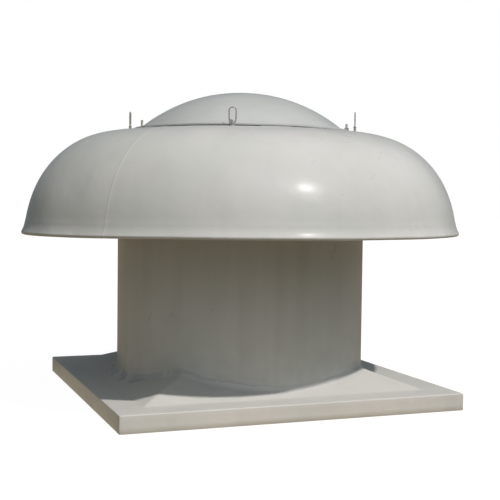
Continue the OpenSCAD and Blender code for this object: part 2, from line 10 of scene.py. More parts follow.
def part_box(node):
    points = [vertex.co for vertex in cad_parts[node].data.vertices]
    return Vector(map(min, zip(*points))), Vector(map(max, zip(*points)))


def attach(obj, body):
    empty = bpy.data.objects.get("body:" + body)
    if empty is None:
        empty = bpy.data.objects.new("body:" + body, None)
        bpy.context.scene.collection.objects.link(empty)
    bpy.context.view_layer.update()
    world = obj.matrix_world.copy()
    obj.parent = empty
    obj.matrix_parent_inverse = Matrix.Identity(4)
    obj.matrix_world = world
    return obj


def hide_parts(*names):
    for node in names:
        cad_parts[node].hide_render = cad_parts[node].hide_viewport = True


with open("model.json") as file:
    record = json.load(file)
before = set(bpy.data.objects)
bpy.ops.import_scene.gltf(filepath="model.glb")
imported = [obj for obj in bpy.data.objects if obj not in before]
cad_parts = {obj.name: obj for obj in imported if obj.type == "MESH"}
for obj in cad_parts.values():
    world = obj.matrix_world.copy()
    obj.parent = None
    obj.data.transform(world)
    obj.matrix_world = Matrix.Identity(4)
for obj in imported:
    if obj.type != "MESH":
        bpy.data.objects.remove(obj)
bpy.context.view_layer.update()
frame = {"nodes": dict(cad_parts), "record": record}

# ---- Sizes in metres, angles in radians and slopes, in the frame's own axes

BASE_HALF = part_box("base_plate")[1].x
RIM_H = 0.040
SHELL = 0.005
HIP_FOOT = 0.348
HIP_RISE = 0.37
ROOT_FILLET = 0.012
THROAT_R = 0.315
BORE_R = 0.308
THROAT_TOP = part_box("fan_cylinder")[1].z
BELL_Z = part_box("fan_cylinder")[0].z
BELL_R = 0.022
LIP_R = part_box("hood")[1].x
LIP_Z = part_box("hood")[0].z
HOOD_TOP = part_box("hood")[1].z
HOOD_HOLE = 0.260
LAND_R = 0.302
WALL_Z, WALL_R = 0.430, 0.5457
FLARE_Z = 0.4385
LIP_BEAD = 0.005
LEAN = math.atan(0.18)
FLARE_TURN = math.radians(29)
SHOULDER_OUT = 0.92
SHOULDER_UP = 0.75
BRIM_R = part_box("dome_cap")[1].x
BRIM_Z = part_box("dome_cap")[0].z
DOME_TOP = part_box("dome_cap")[1].z
DOME_R = 0.409
EYE_R = 0.290
HOOD_TURN = math.radians(-24.3)
HUB_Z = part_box("hub_upper")[0].z
TIP_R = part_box("blade_1")[1].x
BLADES = 6
TAU = 2 * math.pi


# ---- Camera, light and stage

CAMERA_PLACE = (-0.890, -2.430, 0.485)
CAMERA_HEADING = math.radians(-20.67)
CAMERA_PITCH = math.radians(-2.72)
CAMERA_ROLL = math.radians(0.69)
# How far the camera's side of the fan is turned from -Y
CAMERA_SIDE = math.radians(20.11)

# Each light comes from an azimuth and elevation in degrees.
KEY_FROM = (45, 56)
KEY_STRENGTH = 2.84
KEY_COLOUR = (1.0, 0.945, 0.915)
KEY_WIDTH = math.radians(1.6)
SHEEN_FROM = (37, 39)
SHEEN_POWER = 15.0
SHEEN_COLOUR = (1.0, 0.98, 0.95)
SHEEN_AWAY, SHEEN_SIZE = 4.0, 0.36

# Soft boxes: azimuth, elevation and half-width in degrees, and radiance.
SOFT_BOXES = [
    (37, 39, 40, (0.36, 0.41, 0.48)),
    (0, 35, 45, (0.47, 0.52, 0.53)),
    (-90, 8, 55, (0.21, 0.23, 0.25)),
    (90, 8, 55, (0.02, 0.06, 0.08)),
    (90, 50, 50, (0.12, 0.11, 0.12)),
    (180, 8, 60, (0.14, 0.17, 0.20)),
    (0, 90, 45, (0.32, 0.35, 0.35)),
    (118, 30, 38, (0.36, 0.37, 0.37)),
]

# The floor as the camera sees it, and the light that it throws up. Near the base that light is BOUNCE_GAIN
# times as strong, and it fades between BOUNCE_NEAR and BOUNCE_FAR metres from the centre.
FLOOR_GLOW = 0.97
FLOOR_PALE = 0.09
BOUNCE = (0.23, 0.192, 0.136)
BOUNCE_NEAR, BOUNCE_FAR = 0.50, 0.74
BOUNCE_GAIN = 2.2

def aim(thing, direction):
    thing.rotation_mode = "QUATERNION"
    thing.rotation_quaternion = Vector(direction).to_track_quat("-Z", "Y")


def add_camera():
    """A long lens a little above the hood's lip, with the base turned 20 degrees to it."""
    lens = bpy.data.cameras.new("camera")
    lens.lens = 72.0
    lens.sensor_width = 36.0
    lens.clip_end = 100.0
    camera = bpy.data.objects.new("camera", lens)
    place = Matrix.Translation(CAMERA_PLACE)
    turn = Matrix.Rotation(CAMERA_HEADING, 4, "Z") @ Matrix.Rotation(math.pi / 2 + CAMERA_PITCH, 4, "X")
    camera.matrix_world = place @ turn @ Matrix.Rotation(CAMERA_ROLL, 4, "Z")
    bpy.context.scene.collection.objects.link(camera)
    bpy.context.scene.camera = camera


def add_light(name, kind, energy, colour=(1, 1, 1), **settings):
    data = bpy.data.lights.new(name, kind)
    data.energy = energy
    data.color = colour
    for key, value in settings.items():
        setattr(data, key, value)
    lamp = bpy.data.objects.new(name, data)
    bpy.context.scene.collection.objects.link(lamp)
    return lamp


def direction(azimuth, elevation):
    """The unit vector towards a light, with azimuth counted to the right of the camera's side of the fan."""
    a = math.radians(azimuth) - CAMERA_SIDE
    e = math.radians(elevation)
    return Vector((math.sin(a) * math.cos(e), -math.cos(a) * math.cos(e), math.sin(e)))


def add_lights():
    """A sun that is not reflected, and a disc that shows only in reflections."""
    key = add_light("key", "SUN", KEY_STRENGTH, KEY_COLOUR, angle=KEY_WIDTH)
    aim(key, -direction(*KEY_FROM))
    key.visible_glossy = False

    sheen = add_light("sheen", "AREA", SHEEN_POWER, SHEEN_COLOUR, shape="DISK", size=SHEEN_SIZE)
    sheen.location = Vector((0.0, 0.0, 0.5)) + direction(*SHEEN_FROM) * SHEEN_AWAY
    aim(sheen, -direction(*SHEEN_FROM))
    sheen.visible_diffuse = False


def soft_box(nodes, links, place, azimuth, elevation, width, colour):
    """The socket that holds one soft box's light in every direction."""
    facing = nodes.new("ShaderNodeVectorMath")
    facing.operation = "DOT_PRODUCT"
    facing.inputs[1].default_value = direction(azimuth, elevation)
    links.new(place.outputs["Generated"], facing.inputs[0])
    edge = nodes.new("ShaderNodeMapRange")
    edge.interpolation_type = "SMOOTHSTEP"
    edge.inputs["From Min"].default_value = math.cos(math.radians(width))
    edge.inputs["From Max"].default_value = 1.0
    links.new(facing.outputs["Value"], edge.inputs["Value"])
    tint = nodes.new("ShaderNodeVectorMath")
    tint.operation = "SCALE"
    tint.inputs[0].default_value = colour
    links.new(edge.outputs["Result"], tint.inputs["Scale"])
    return tint.outputs["Vector"]


def seen_by_camera(nodes, links, unseen, seen, kind, socket):
    """Wires the output node to one shader for the camera's rays and another for all others."""
    path = nodes.new("ShaderNodeLightPath")
    mix = nodes.new("ShaderNodeMixShader")
    links.new(path.outputs["Is Camera Ray"], mix.inputs[0])
    links.new(unseen.outputs[0], mix.inputs[1])
    links.new(seen.outputs[0], mix.inputs[2])
    out = nodes.new(kind)
    links.new(mix.outputs[0], out.inputs[socket])


def add_world():
    """Soft boxes all round, behind a white background."""
    world = bpy.data.worlds.new("studio")
    world.use_nodes = True
    bpy.context.scene.world = world
    nodes, links = world.node_tree.nodes, world.node_tree.links
    nodes.clear()
    place = nodes.new("ShaderNodeTexCoord")
    total = None
    for box in SOFT_BOXES:
        light = soft_box(nodes, links, place, *box)
        if total is None:
            total = light
            continue
        both = nodes.new("ShaderNodeVectorMath")
        both.operation = "ADD"
        links.new(total, both.inputs[0])
        links.new(light, both.inputs[1])
        total = both.outputs["Vector"]
    boxes = nodes.new("ShaderNodeBackground")
    links.new(total, boxes.inputs["Color"])
    white = nodes.new("ShaderNodeBackground")
    white.inputs["Color"].default_value = (1, 1, 1, 1)
    seen_by_camera(nodes, links, boxes, white, "ShaderNodeOutputWorld", "Surface")


def floor_bounce(nodes, links):
    """The warm light that the floor throws up, which fades away from the base."""
    place = nodes.new("ShaderNodeTexCoord")
    away = nodes.new("ShaderNodeVectorMath")
    away.operation = "LENGTH"
    links.new(place.outputs["Object"], away.inputs[0])
    fade = nodes.new("ShaderNodeMapRange")
    fade.interpolation_type = "SMOOTHSTEP"
    fade.inputs["From Min"].default_value = BOUNCE_NEAR
    fade.inputs["From Max"].default_value = BOUNCE_FAR
    fade.inputs["To Min"].default_value = BOUNCE_GAIN
    fade.inputs["To Max"].default_value = 1.0
    links.new(away.outputs["Value"], fade.inputs["Value"])
    bounce = nodes.new("ShaderNodeEmission")
    bounce.inputs["Color"].default_value = (*BOUNCE, 1)
    links.new(fade.outputs["Result"], bounce.inputs["Strength"])
    return bounce


def floor_material():
    """Nearly white to the camera, and a warm light to everything else."""
    material = bpy.data.materials.new("floor")
    material.use_nodes = True
    nodes, links = material.node_tree.nodes, material.node_tree.links
    nodes.clear()
    glow = nodes.new("ShaderNodeEmission")
    glow.inputs["Strength"].default_value = FLOOR_GLOW
    pale = nodes.new("ShaderNodeBsdfDiffuse")
    pale.inputs["Color"].default_value = (FLOOR_PALE, FLOOR_PALE, FLOOR_PALE, 1)
    seen = nodes.new("ShaderNodeAddShader")
    links.new(glow.outputs[0], seen.inputs[0])
    links.new(pale.outputs[0], seen.inputs[1])
    seen_by_camera(nodes, links, floor_bounce(nodes, links), seen, "ShaderNodeOutputMaterial", "Surface")
    return material


def add_floor():
    bpy.ops.mesh.primitive_plane_add(size=60, location=(0, 0, -0.0005))
    floor = bpy.context.object
    floor.name = "floor"
    floor.data.materials.append(floor_material())


# ---- Materials

class Shader:
    """A material in the making. Its methods add nodes and return the socket that holds the result."""

    def __init__(self, name, roughness=0.5, metallic=0.0, coat=0.0, coat_roughness=0.05):
        self.material = bpy.data.materials.new(name)
        self.material.use_nodes = True
        self.tree = self.material.node_tree
        self.surface = self.tree.nodes["Principled BSDF"]
        self.surface.inputs["Roughness"].default_value = roughness
        self.surface.inputs["Metallic"].default_value = metallic
        self.surface.inputs["Coat Weight"].default_value = coat
        self.surface.inputs["Coat Roughness"].default_value = coat_roughness
        self.place = self.node("ShaderNodeTexCoord").outputs["Object"]

    def node(self, kind, **settings):
        made = self.tree.nodes.new(kind)
        for key, value in settings.items():
            setattr(made, key, value)
        return made

    def put(self, socket, value):
        if isinstance(value, bpy.types.NodeSocket):
            self.tree.links.new(value, socket)
        else:
            socket.default_value = value

    def stretched(self, scale):
        mapping = self.node("ShaderNodeMapping")
        self.put(mapping.inputs["Vector"], self.place)
        mapping.inputs["Scale"].default_value = scale
        return mapping.outputs["Vector"]

    def noise(self, scale, detail=3.0, roughness=0.55, stretch=None):
        made = self.node("ShaderNodeTexNoise")
        self.put(made.inputs["Vector"], self.stretched(stretch) if stretch else self.place)
        made.inputs["Scale"].default_value = scale
        made.inputs["Detail"].default_value = detail
        made.inputs["Roughness"].default_value = roughness
        return made.outputs["Fac"]

    def cells(self, scale):
        made = self.node("ShaderNodeTexVoronoi")
        self.put(made.inputs["Vector"], self.place)
        made.inputs["Scale"].default_value = scale
        return made.outputs["Color"]

    def math(self, operation, a, b=0.0, c=0.0):
        made = self.node("ShaderNodeMath", operation=operation)
        for socket, value in zip(made.inputs, (a, b, c)):
            self.put(socket, value)
        return made.outputs[0]

    def span(self, value, low, high, to_low=0.0, to_high=1.0):
        made = self.node("ShaderNodeMapRange")
        for key, number in (("Value", value), ("From Min", low), ("From Max", high),
                            ("To Min", to_low), ("To Max", to_high)):
            self.put(made.inputs[key], number)
        return made.outputs["Result"]

    def mix(self, factor, a, b):
        made = self.node("ShaderNodeMix", data_type="RGBA")
        self.put(made.inputs[0], factor)
        self.put(made.inputs[6], a if isinstance(a, bpy.types.NodeSocket) else (*a, 1))
        self.put(made.inputs[7], b if isinstance(b, bpy.types.NodeSocket) else (*b, 1))
        return made.outputs[2]

    def height(self):
        split = self.node("ShaderNodeSeparateXYZ")
        self.put(split.inputs[0], self.place)
        return split.outputs["Z"]

    def edges(self):
        """1 on convex edges and 0 on flat faces."""
        return self.span(self.node("ShaderNodeNewGeometry").outputs["Pointiness"], 0.52, 0.60)

    def bump(self, layers):
        """Stacks bumps, each a (value, depth in metres) pair, and wires them to the surface."""
        normal = None
        for value, depth in layers:
            made = self.node("ShaderNodeBump")
            self.put(made.inputs["Height"], value)
            made.inputs["Distance"].default_value = depth
            if normal:
                self.put(made.inputs["Normal"], normal)
            normal = made.outputs["Normal"]
        self.put(self.surface.inputs["Normal"], normal)

    def done(self, colour, roughness=None):
        self.put(self.surface.inputs["Base Color"], colour)
        if roughness is not None:
            self.put(self.surface.inputs["Roughness"], roughness)
        return self.material


def gelcoat(name, tint=(0.62, 0.615, 0.59), coat=0.45, shine=0.26, streaks=0.30, grime=0.22,
            heights=(0.0, 0.03)):
    """Sprayed gelcoat on hand-laid glass fibre, with faint runs, which when made stronger are also painted
    reflection bands, and grime that fades between two heights.
    """
    s = Shader(name, coat=coat, coat_roughness=0.17)
    cool = tuple(c * k for c, k in zip(tint, (0.93, 0.955, 0.94)))
    colour = s.mix(s.span(s.noise(4.0, 4.0), 0.35, 0.65), tint, cool)
    # Darker upright runs; raised on the throat, where they are also painted reflection bands.
    runs_and_reflection_bands = s.span(s.noise(1.0, 2.0, stretch=(22, 22, 1.2)), 0.45, 0.75, 0.0, streaks)
    colour = s.mix(runs_and_reflection_bands, colour, tuple(c * 0.84 for c in tint))
    rough = s.span(s.noise(11.0, 5.0), 0.3, 0.7, shine, shine + 0.14)
    band = s.span(s.height(), *heights, 1.0, 0.0)
    dirt = s.math("MULTIPLY", band, s.span(s.noise(16.0, 6.0, 0.6), 0.35, 0.75))
    colour = s.mix(s.math("MULTIPLY", dirt, grime), colour, (0.20, 0.17, 0.13))
    rough = s.math("ADD", rough, s.math("MULTIPLY", dirt, 0.25))
    s.bump([(s.noise(3.2, 1.0), 0.010), (s.noise(14.0, 2.0), 0.0016), (s.noise(260.0, 2.0), 0.00012)])
    return s.done(colour, rough)


def raw_laminate():
    """The inside of the mouldings: flow-coated glass mat, duller, with its fibres showing."""
    s = Shader("raw_laminate", coat=0.1, coat_roughness=0.3)
    fibres = s.noise(90.0, 6.0, 0.75, stretch=(1, 5, 1))
    colour = s.mix(s.span(fibres, 0.35, 0.65), (0.40, 0.41, 0.385), (0.50, 0.505, 0.475))
    colour = s.mix(s.span(s.noise(6.0, 3.0), 0.45, 0.8), colour, (0.36, 0.345, 0.30))
    s.bump([(fibres, 0.0012), (s.noise(40.0, 3.0), 0.0016)])
    return s.done(colour, s.span(fibres, 0.3, 0.7, 0.5, 0.75))


def galvanised():
    """Hot-dip zinc with its spangle, dulled, and white rust in the hollows."""
    s = Shader("galvanised", metallic=0.85)
    split = s.node("ShaderNodeSeparateColor")
    s.put(split.inputs[0], s.cells(70.0))
    colour = s.mix(split.outputs[0], (0.42, 0.44, 0.46), (0.62, 0.64, 0.66))
    dull = s.span(s.noise(22.0, 5.0), 0.48, 0.68)
    colour = s.mix(s.math("MULTIPLY", dull, 0.6), colour, (0.60, 0.60, 0.57))
    s.bump([(s.noise(120.0, 3.0), 0.0002)])
    rough = s.math("ADD", s.span(split.outputs[1], 0.0, 1.0, 0.36, 0.52), s.math("MULTIPLY", dull, 0.2))
    return s.done(colour, rough)


def weathered_zinc():
    """Plated fasteners and bent wire that have lost some plating to brown rust."""
    s = Shader("weathered_zinc", metallic=0.7)
    rust = s.span(s.noise(150.0, 5.0, 0.7), 0.50, 0.66)
    rust = s.math("MAXIMUM", rust, s.math("MULTIPLY", s.edges(), 0.5))
    colour = s.mix(s.math("MULTIPLY", rust, 0.75), (0.62, 0.60, 0.56), (0.26, 0.19, 0.14))
    s.bump([(s.noise(500.0, 3.0), 0.00012), (rust, 0.00006)])
    return s.done(colour, s.span(rust, 0.0, 1.0, 0.40, 0.78))


def enamel(name, tint):
    """Sprayed enamel on cast or pressed metal, chipped to a paler primer along its edges."""
    s = Shader(name, coat=0.2, coat_roughness=0.15)
    pale = tuple(min(1.0, c * 1.35 + 0.02) for c in tint)
    colour = s.mix(s.span(s.noise(9.0, 4.0), 0.4, 0.7, 0.0, 0.5), tint, pale)
    chips = s.math("MULTIPLY", s.edges(), s.span(s.noise(130.0, 4.0), 0.45, 0.6))
    colour = s.mix(chips, colour, (0.42, 0.42, 0.41))
    dust = s.span(s.noise(28.0, 5.0), 0.5, 0.8, 0.0, 0.35)
    colour = s.mix(dust, colour, (0.38, 0.36, 0.33))
    s.bump([(s.noise(330.0, 2.0), 0.00012), (s.noise(60.0, 3.0), 0.0002)])
    return s.done(colour, s.span(s.noise(30.0, 4.0), 0.3, 0.7, 0.34, 0.55))


def cast_aluminium():
    """Sand-cast aluminium, grained, with brighter worn edges and a film of greasy dust."""
    s = Shader("cast_aluminium", metallic=0.9)
    dust = s.span(s.noise(16.0, 5.0, 0.6), 0.42, 0.75)
    colour = s.mix(s.math("MULTIPLY", dust, 0.55), (0.62, 0.63, 0.64), (0.33, 0.30, 0.25))
    colour = s.mix(s.math("MULTIPLY", s.edges(), 0.6), colour, (0.80, 0.80, 0.81))
    s.bump([(s.noise(380.0, 4.0), 0.00025)])
    return s.done(colour, s.span(dust, 0.0, 1.0, 0.38, 0.62))


def ground_steel():
    """Turned and ground steel with fine rings about the shaft and a film of oil."""
    s = Shader("ground_steel", roughness=0.22, metallic=1.0)
    rings = s.noise(1.0, 2.0, stretch=(8, 8, 2600))
    colour = s.mix(rings, (0.55, 0.55, 0.56), (0.70, 0.70, 0.71))
    colour = s.mix(s.span(s.noise(40.0, 4.0), 0.55, 0.8, 0.0, 0.5), colour, (0.36, 0.31, 0.24))
    s.bump([(rings, 0.00002)])
    return s.done(colour, s.span(s.noise(60.0, 3.0), 0.3, 0.7, 0.18, 0.34))


def laminations():
    """A varnished stack of thin steel sheets."""
    s = Shader("laminations", metallic=0.6)
    sheets = s.noise(1.0, 1.0, stretch=(2, 2, 1500))
    colour = s.mix(sheets, (0.10, 0.095, 0.09), (0.24, 0.23, 0.22))
    s.bump([(sheets, 0.0003)])
    return s.done(colour, s.span(sheets, 0.3, 0.7, 0.35, 0.55))


def varnished_copper():
    """Round copper wire laid in hanks and dipped in varnish."""
    s = Shader("varnished_copper", metallic=0.6, coat=0.6, coat_roughness=0.15)
    hanks = s.noise(1.0, 3.0, stretch=(120, 120, 900))
    colour = s.mix(hanks, (0.32, 0.12, 0.045), (0.62, 0.27, 0.11))
    s.bump([(hanks, 0.0006)])
    return s.done(colour, s.span(hanks, 0.3, 0.7, 0.25, 0.45))


def moulded(name, tint, grain):
    """Moulded rubber or plastic with a fine grain and a little dust."""
    s = Shader(name)
    pale = tuple(c * 1.6 + 0.02 for c in tint)
    colour = s.mix(s.span(s.noise(35.0, 5.0), 0.45, 0.75, 0.0, 0.6), tint, pale)
    colour = s.mix(s.math("MULTIPLY", s.edges(), 0.4), colour, tuple(c * 2.0 + 0.03 for c in tint))
    s.bump([(s.noise(600.0, 2.0), grain)])
    return s.done(colour, s.span(s.noise(50.0, 3.0), 0.3, 0.7, 0.5, 0.75))


def sealed_joint():
    """The dome's rubber seal, with a pale smear of sealant over parts of its edge."""
    s = Shader("sealed_joint")
    smear = s.span(s.noise(7.0, 2.0), 0.46, 0.52)
    colour = s.mix(smear, (0.05, 0.05, 0.048), (0.36, 0.355, 0.335))
    s.bump([(s.noise(160.0, 3.0), 0.0006), (smear, 0.0004)])
    return s.done(colour, s.span(smear, 0.0, 1.0, 0.7, 0.45))


MATERIALS = {
    "hood_coat": gelcoat("hood_coat", heights=(LIP_Z, LIP_Z + 0.014)),
    "dome_coat": gelcoat("dome_coat", (0.54, 0.55, 0.535), heights=(BRIM_Z, BRIM_Z + 0.012)),
    # The throat's stronger streaks are runs in its gelcoat and also painted reflection bands.
    "throat_coat": gelcoat("throat_coat", streaks=0.55, heights=(0.08, 0.20)),
    "base_coat": gelcoat("base_coat", (0.61, 0.595, 0.565), coat=0.08, shine=0.42, grime=0.07,
                         heights=(0.0, 0.034)),
    # Darker, bluer resin for the patches at the throat's root: resin smears, and painted shade on the root's
    # shaded side, darker towards the bottom.
    "resin": gelcoat("resin", (0.52, 0.525, 0.52), coat=0.3, shine=0.36, grime=0.3, heights=(0.03, 0.12)),
    "laminate": raw_laminate(),
    "galvanised": galvanised(),
    "zinc": weathered_zinc(),
    "motor": enamel("motor_enamel", (0.085, 0.16, 0.22)),
    "aluminium": cast_aluminium(),
    "steel": ground_steel(),
    "laminations": laminations(),
    "copper": varnished_copper(),
    "rubber": moulded("rubber", (0.035, 0.035, 0.037), 0.0002),
    "sealed": sealed_joint(),
    "plastic": moulded("black_plastic", (0.045, 0.045, 0.05), 0.00008),
}

# The material of each CAD slot whose nodes keep their own shape.
SLOT_MATERIALS = {
    "gelcoat": "hood_coat",
    "galvanised": "galvanised",
    "zinc_fastener": "zinc",
    "rubber": "rubber",
    "motor_paint": "motor",
    "cast_aluminium": "aluminium",
    "lamination": "laminations",
    "winding": "copper",
    "bearing_steel": "steel",
    "black_plastic": "plastic",
}


def finish_cad_nodes():
    """Gives every CAD node its material, and softens the edges of the machined and cast ones."""
    left_sharp = {"gelcoat", "winding", "lamination", "rubber"}
    for part in frame["record"]["subparts"]:
        node = frame["nodes"][part["node"]]
        slot = part["material_slot"]
        node.data.materials.clear()
        key = "sealed" if part["node"] == "dome_gasket" else SLOT_MATERIALS[slot]
        node.data.materials.append(MATERIALS[key])
        if slot in left_sharp or part["node"].startswith("blade"):
            continue
        weld = node.modifiers.new("weld", "WELD")
        weld.merge_threshold = 0.00001
        bevel = node.modifiers.new("bevel", "BEVEL")
        bevel.width = 0.0004
        bevel.segments = 2
        bevel.limit_method = "ANGLE"
        bevel.angle_limit = math.radians(35)
        bevel.harden_normals = False


# ---- Building meshes

def rounded(corners, steps=5):
    """The closed outline through corners (x, y, radius), with each corner rounded by its radius."""
    points = []
    for i, (x, y, radius) in enumerate(corners):
        here = Vector((x, y))
        before = Vector(corners[i - 1][:2])
        after = Vector(corners[(i + 1) % len(corners)][:2])
        if radius == 0:
            points.append(here)
            continue
        u, v = (before - here).normalized(), (after - here).normalized()
        reach = radius / math.tan(u.angle(v) / 2)
        reach = min(reach, 0.48 * (before - here).length, 0.48 * (after - here).length)
        start, end = here + u * reach, here + v * reach
        for k in range(steps + 1):
            t = k / steps
            points.append(start * (1 - t) ** 2 + here * 2 * t * (1 - t) + end * t * t)
    return points


def piece(name, points, faces, materials, body, sharp=35, uneven=None):
    """A finished mesh on a body. uneven is (size, amount): how far apart and how deep its waves are."""
    if uneven:
        size, amount = uneven
        points = [p + Vector(p).normalized() * noise.noise(Vector(p) / size) * amount for p in points]
    mesh = bpy.data.meshes.new(name)
    mesh.from_pydata([tuple(p) for p in points], [], faces)
    mesh.validate()
    mesh.shade_smooth()
    mesh.set_sharp_from_angle(angle=math.radians(sharp))
    for key in materials:
        mesh.materials.append(MATERIALS[key])
    made = bpy.data.objects.new(name, mesh)
    bpy.context.scene.collection.objects.link(made)
    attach(made, body)
    return made


def loop_faces(rows, columns, wrap_rows=True, wrap_columns=True):
    """Quads between rows of points, each row a closed loop unless told otherwise."""
    faces = []
    for r in range(rows if wrap_rows else rows - 1):
        for c in range(columns if wrap_columns else columns - 1):
            r2, c2 = (r + 1) % rows, (c + 1) % columns
            faces.append((r * columns + c, r2 * columns + c, r2 * columns + c2, r * columns + c2))
    return faces


def lathe(outline, segments, extra=()):
    """Points and faces of a closed outline of (radius, height) turned about +Z, with extra angles put in."""
    angles = sorted([TAU * k / segments for k in range(segments)] + [a % TAU for a in extra])
    points = []
    for a in angles:
        points += [Vector((r * math.cos(a), r * math.sin(a), z)) for r, z in outline]
    return points, loop_faces(len(angles), len(outline))


def paint(made, key_index, chosen):
    """Gives the faces that chosen(centre, normal) picks the material at key_index."""
    for face in made.data.polygons:
        if chosen(face.center, face.normal):
            face.material_index = key_index


def arc(cx, cy, radius, start, end, steps):
    """Points along an arc, with its angles in radians."""
    return [
        (cx + radius * math.cos(start + (end - start) * k / steps),
         cy + radius * math.sin(start + (end - start) * k / steps))
        for k in range(steps + 1)
    ]


# ---- The base

RIM_EDGE = 0.003
RIM_CORNER, RIM_CORNER_INSIDE = 0.003, 0.004
SOFT_RIDGE, SOFT_FOOT = 0.004, 0.004
# Half the width of the band of closer points over the crease at the hip's foot
CREASE = 0.012
# The side of the throat where the resin is smeared, for its patches, which are also painted shade on the
# root's shaded side, and for its bead
RESIN_AND_SHADE_TURN = math.radians(178)
BEAD_TURN = math.radians(176)

def hip_height(x, y):
    """Height of the base's top at (x, y): the flat border, the softly ridged hip and its crease."""
    ax, ay = abs(x), abs(y)
    reach = (ax + ay + math.sqrt((ax - ay) ** 2 + SOFT_RIDGE ** 2)) / 2
    inside = HIP_FOOT - reach
    lift = (inside + math.sqrt(inside * inside + SOFT_FOOT ** 2)) / 2
    fade = min(1.0, max(0.0, (BASE_HALF - 0.012 - reach) / 0.02))
    return RIM_H + HIP_RISE * lift * fade


def square_reach(angle, half, corner):
    """Distance from the centre to the edge of a square with rounded corners."""
    c, s = abs(math.cos(angle)), abs(math.sin(angle))
    straight = half / max(c, s)
    x, y = straight * c, straight * s
    inner = half - corner
    if min(x, y) <= inner:
        return straight
    along = inner * (c + s)
    return along + math.sqrt(along * along - 2 * inner * inner + corner * corner)


def base_angles():
    """Angles round the base, closer together near its corners."""
    angles = []
    for side in range(4):
        for k in range(72):
            t = k / 72
            angles.append(math.radians(-45) + TAU / 4 * (side + t - 0.11 * math.sin(TAU * t)))
    return angles


def resin_smear(p, n):
    """True in the ragged patches of resin wiped round one side of the throat's root; darker and bluer, they
    are also painted shade on that shaded side.
    """
    reach = math.hypot(p.x, p.y) - THROAT_R
    side = max(0.0, math.cos(math.atan2(p.y, p.x) - RESIN_AND_SHADE_TURN)) ** 3
    spread = 0.012 + 0.030 * noise.noise(p / 0.045) + 0.012 * noise.noise(p / 0.012)
    return n.z > 0 and reach < spread * side


def root_bead(c, s, angle):
    """How far the resin's bead reaches from the throat: uneven all round, and smeared wide at one side."""
    smear = max(0.0, math.cos(angle - BEAD_TURN)) ** 70
    coarse = noise.noise(Vector((c, s, 0)) * 9.0)
    ragged = coarse + 0.6 * noise.noise(Vector((c, s, 3)) * 40.0) * (0.4 + 3 * smear)
    return ROOT_FILLET * (1 + 0.45 * ragged + 1.1 * smear)


def rim_profile(outer, inner):
    """Up the outside of the rim and over its rounded edge."""
    points = [(inner, 0.0008), (inner + 0.0008, 0.0), (outer - 0.001, 0.0), (outer, 0.001)]
    points += [(outer, RIM_H * k) for k in (0.35, 0.7)]
    for k in range(7):
        a = math.pi / 2 * k / 6
        points.append((outer - RIM_EDGE + RIM_EDGE * math.cos(a), RIM_H - RIM_EDGE + RIM_EDGE * math.sin(a)))
    return points


def top_profile(c, s, outer, foot, bead):
    """Over the border and the hip, and up the bead onto the throat, in the direction (c, s)."""
    border = outer - RIM_EDGE
    last = THROAT_R + bead
    ways = [border - (border - foot) * k / 5 for k in range(1, 5)]
    ways += [foot + CREASE * (1 - k / 4) for k in range(0, 9)]
    ways += [foot - CREASE - (foot - CREASE - last) * k / 12 for k in range(1, 12)]
    ways = [max(w, last + 0.0004 * (len(ways) - i)) for i, w in enumerate(ways)]
    points = [(w, hip_height(w * c, w * s)) for w in ways]
    for k in range(13):
        a = math.pi / 2 * k / 12
        w = last - bead * math.sin(a)
        points.append((w, hip_height(w * c, w * s) + bead * (1 - math.cos(a))))
    return points


def under_profile(c, s, inner, foot):
    """Down the hole's edge and out along the underside, in the direction (c, s)."""
    under = RIM_H - SHELL
    points = [(THROAT_R + 0.0002, hip_height(THROAT_R * c, THROAT_R * s) - 0.006)]
    for k in range(1, 7):
        w = THROAT_R + (foot - THROAT_R) * k / 6
        points.append((w, hip_height(w * c, w * s) - 0.0054))
    return points + [(inner - 0.004, under), (inner - 0.001, under - 0.001), (inner, under - 0.004)]


def make_base():
    points = []
    columns = 0
    for angle in base_angles():
        c, s = math.cos(angle), math.sin(angle)
        outer = square_reach(angle, BASE_HALF, RIM_CORNER)
        inner = square_reach(angle, BASE_HALF - SHELL, RIM_CORNER_INSIDE)
        foot = HIP_FOOT / max(abs(c), abs(s))
        profile = rim_profile(outer, inner)
        profile += top_profile(c, s, outer, foot, root_bead(c, s, angle))
        profile += under_profile(c, s, inner, foot)
        columns = len(profile)
        points += [Vector((w * c, w * s, z)) for w, z in profile]
    rows = len(points) // columns
    made = piece("base_moulding", points, loop_faces(rows, columns), ["base_coat", "laminate", "resin"],
                 "housing", sharp=50)
    paint(made, 1, lambda p, n: n.z < -0.3 and p.z > 0.02)
    # Painted shade with the resin: darker patches round the shaded side of the root
    paint(made, 2, resin_smear)
    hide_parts("base_plate", "bond_fillet")


# ---- The throat

def make_throat():
    bell = (BORE_R + BELL_R, BELL_Z + BELL_R)
    wall = THROAT_R - BORE_R
    outline = arc(*bell, BELL_R, math.pi, 1.5 * math.pi, 14)
    outline += arc(*bell, BELL_R - wall, 1.5 * math.pi, math.pi, 14)
    outline += [(THROAT_R, z) for z in (0.06, 0.12, 0.20, 0.30, 0.40, 0.48)]
    outline += [(THROAT_R, THROAT_TOP - 0.009), (THROAT_R + 0.001, THROAT_TOP - 0.008)]
    outline += arc(THROAT_R + 0.002, THROAT_TOP - 0.004, 0.004, -math.pi / 2, math.pi / 2, 8)
    outline += [(BORE_R + 0.001, THROAT_TOP), (BORE_R, THROAT_TOP - 0.001)]
    outline += [(BORE_R, z) for z in (0.48, 0.40, 0.30, 0.20, 0.12, 0.06)]
    points, faces = lathe(outline, 288)
    made = piece("throat_moulding", points, faces, ["throat_coat", "laminate"],
                 "housing", sharp=50)
    paint(made, 1, lambda p, n: n.x * p.x + n.y * p.y < 0 and p.z > 0.03)
    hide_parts("fan_cylinder")


# ---- The hood and the dome

